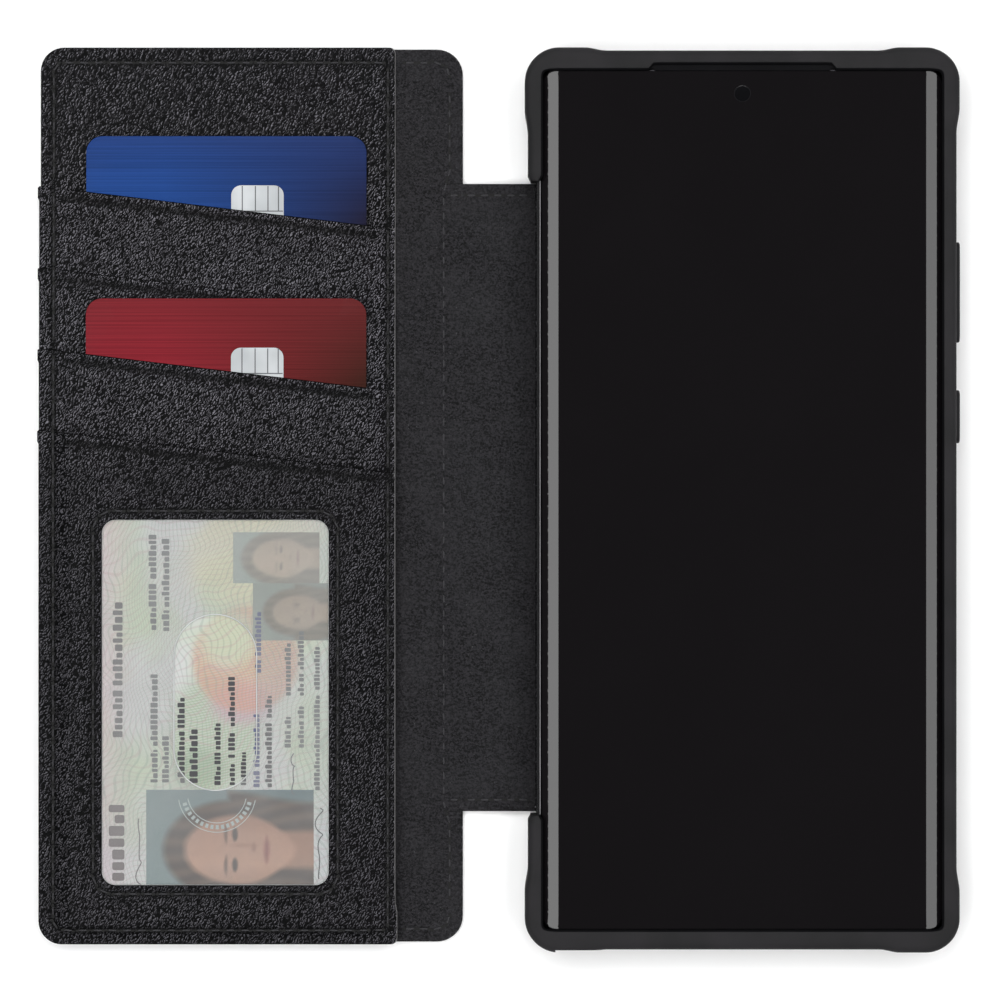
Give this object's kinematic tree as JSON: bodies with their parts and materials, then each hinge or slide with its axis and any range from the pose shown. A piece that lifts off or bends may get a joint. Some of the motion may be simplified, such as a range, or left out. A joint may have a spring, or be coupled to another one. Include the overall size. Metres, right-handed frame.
{
  "type": "phone wallet case",
  "caption": "Folio wallet case, open flat: a bumper shell holding a large phone, a folding spine, and a cover with slanted card slots, a clear window and a cash pocket.",
  "frame": {"origin": "middle of the shell's back face, which lies on the table", "axes": "+Z out of the phone's screen, +Y to the phone's top, +X away from the cover; the case lies open and flat"},
  "size_m": [0.1768, 0.1739, 0.0109],
  "materials": {
    "outer_leather": "grained, semi-matte",
    "pocket_leather": "pebbled, semi-matte",
    "suede": "matte nap",
    "bumper_soft": "soft-touch matte",
    "shell_plastic": "satin",
    "board": "matte",
    "thread": "satin",
    "clear_film": "clear, slightly hazy",
    "blue_card": "satin",
    "red_card": "satin",
    "id_card": "satin",
    "contact_plate": "satin",
    "phone_metal": "satin",
    "screen_glass": "gloss",
    "back_glass": "satin",
    "lens_glass": "gloss"
  },
  "bodies": {
    "shell": {"back_leather": "outer_leather", "hard_shell": "shell_plastic", "bumper_walls": "bumper_soft", "bumper_port_wall": "bumper_soft", "bumper_corners": "bumper_soft", "bumper_lip": "bumper_soft", "camera_bezel": "shell_plastic"},
    "volume_key": {"volume_key": "bumper_soft"},
    "power_key": {"power_key": "bumper_soft"},
    "phone": {"phone_frame": "phone_metal", "phone_front_glass": "screen_glass", "phone_back_glass": "back_glass", "phone_camera_island": "phone_metal", "phone_camera_lenses": "lens_glass", "phone_front_camera": "lens_glass"},
    "spine": {"spine_leather": "outer_leather", "spine_board": "board", "spine_lining": "suede", "spine_thread": "thread"},
    "cover": {"cover_leather": "outer_leather", "cover_board": "board", "cover_lining": "suede", "cash_pocket_panel": "pocket_leather", "card_pocket_1": "pocket_leather", "card_pocket_2": "pocket_leather", "card_pocket_3": "pocket_leather", "id_pocket_panel": "pocket_leather", "id_window_film": "clear_film", "pocket_side_seams": "pocket_leather", "pocket_bottom_seams": "pocket_leather", "cover_thread": "thread", "panel_edge_thread": "thread", "window_thread": "thread", "lining_thread": "thread"},
    "blue_card": {"blue_card": "blue_card", "blue_card_chip": "contact_plate"},
    "red_card": {"red_card": "red_card", "red_card_chip": "contact_plate"},
    "id_card": {"id_card": "id_card"}
  },
  "joints": [
    {"name": "spine_fold", "type": "hinge", "parent": "shell", "child": "spine", "pos_m": [-0.0404, 0, 0.0008], "axis": [0, 1, 0], "range_deg": [-90, 90]},
    {"name": "cover_fold", "type": "hinge", "parent": "spine", "child": "cover", "pos_m": [-0.05551, 0, 0.0008], "axis": [0, 1, 0], "range_deg": [-90, 90]},
    {"name": "phone_lift", "type": "slide", "parent": "shell", "child": "phone", "axis": [0, 0, -1], "range_m": [-0.025, 0], "deforming": ["bumper_lip"]},
    {"name": "volume_press", "type": "slide", "parent": "shell", "child": "volume_key", "axis": [-1, 0, 0], "range_m": [0, 0.00035], "stiffness_N_per_m": 2000},
    {"name": "power_press", "type": "slide", "parent": "shell", "child": "power_key", "axis": [-1, 0, 0], "range_m": [0, 0.00035], "stiffness_N_per_m": 2000},
    {"name": "blue_card_slide", "type": "slide", "parent": "cover", "child": "blue_card", "axis": [0, 1, 0], "range_m": [0, 0.078]},
    {"name": "red_card_slide", "type": "slide", "parent": "cover", "child": "red_card", "axis": [0, 1, 0], "range_m": [0, 0.078]},
    {"name": "id_card_slide", "type": "slide", "parent": "cover", "child": "id_card", "axis": [0, 1, 0], "range_m": [0, 0.097]}
  ]
}
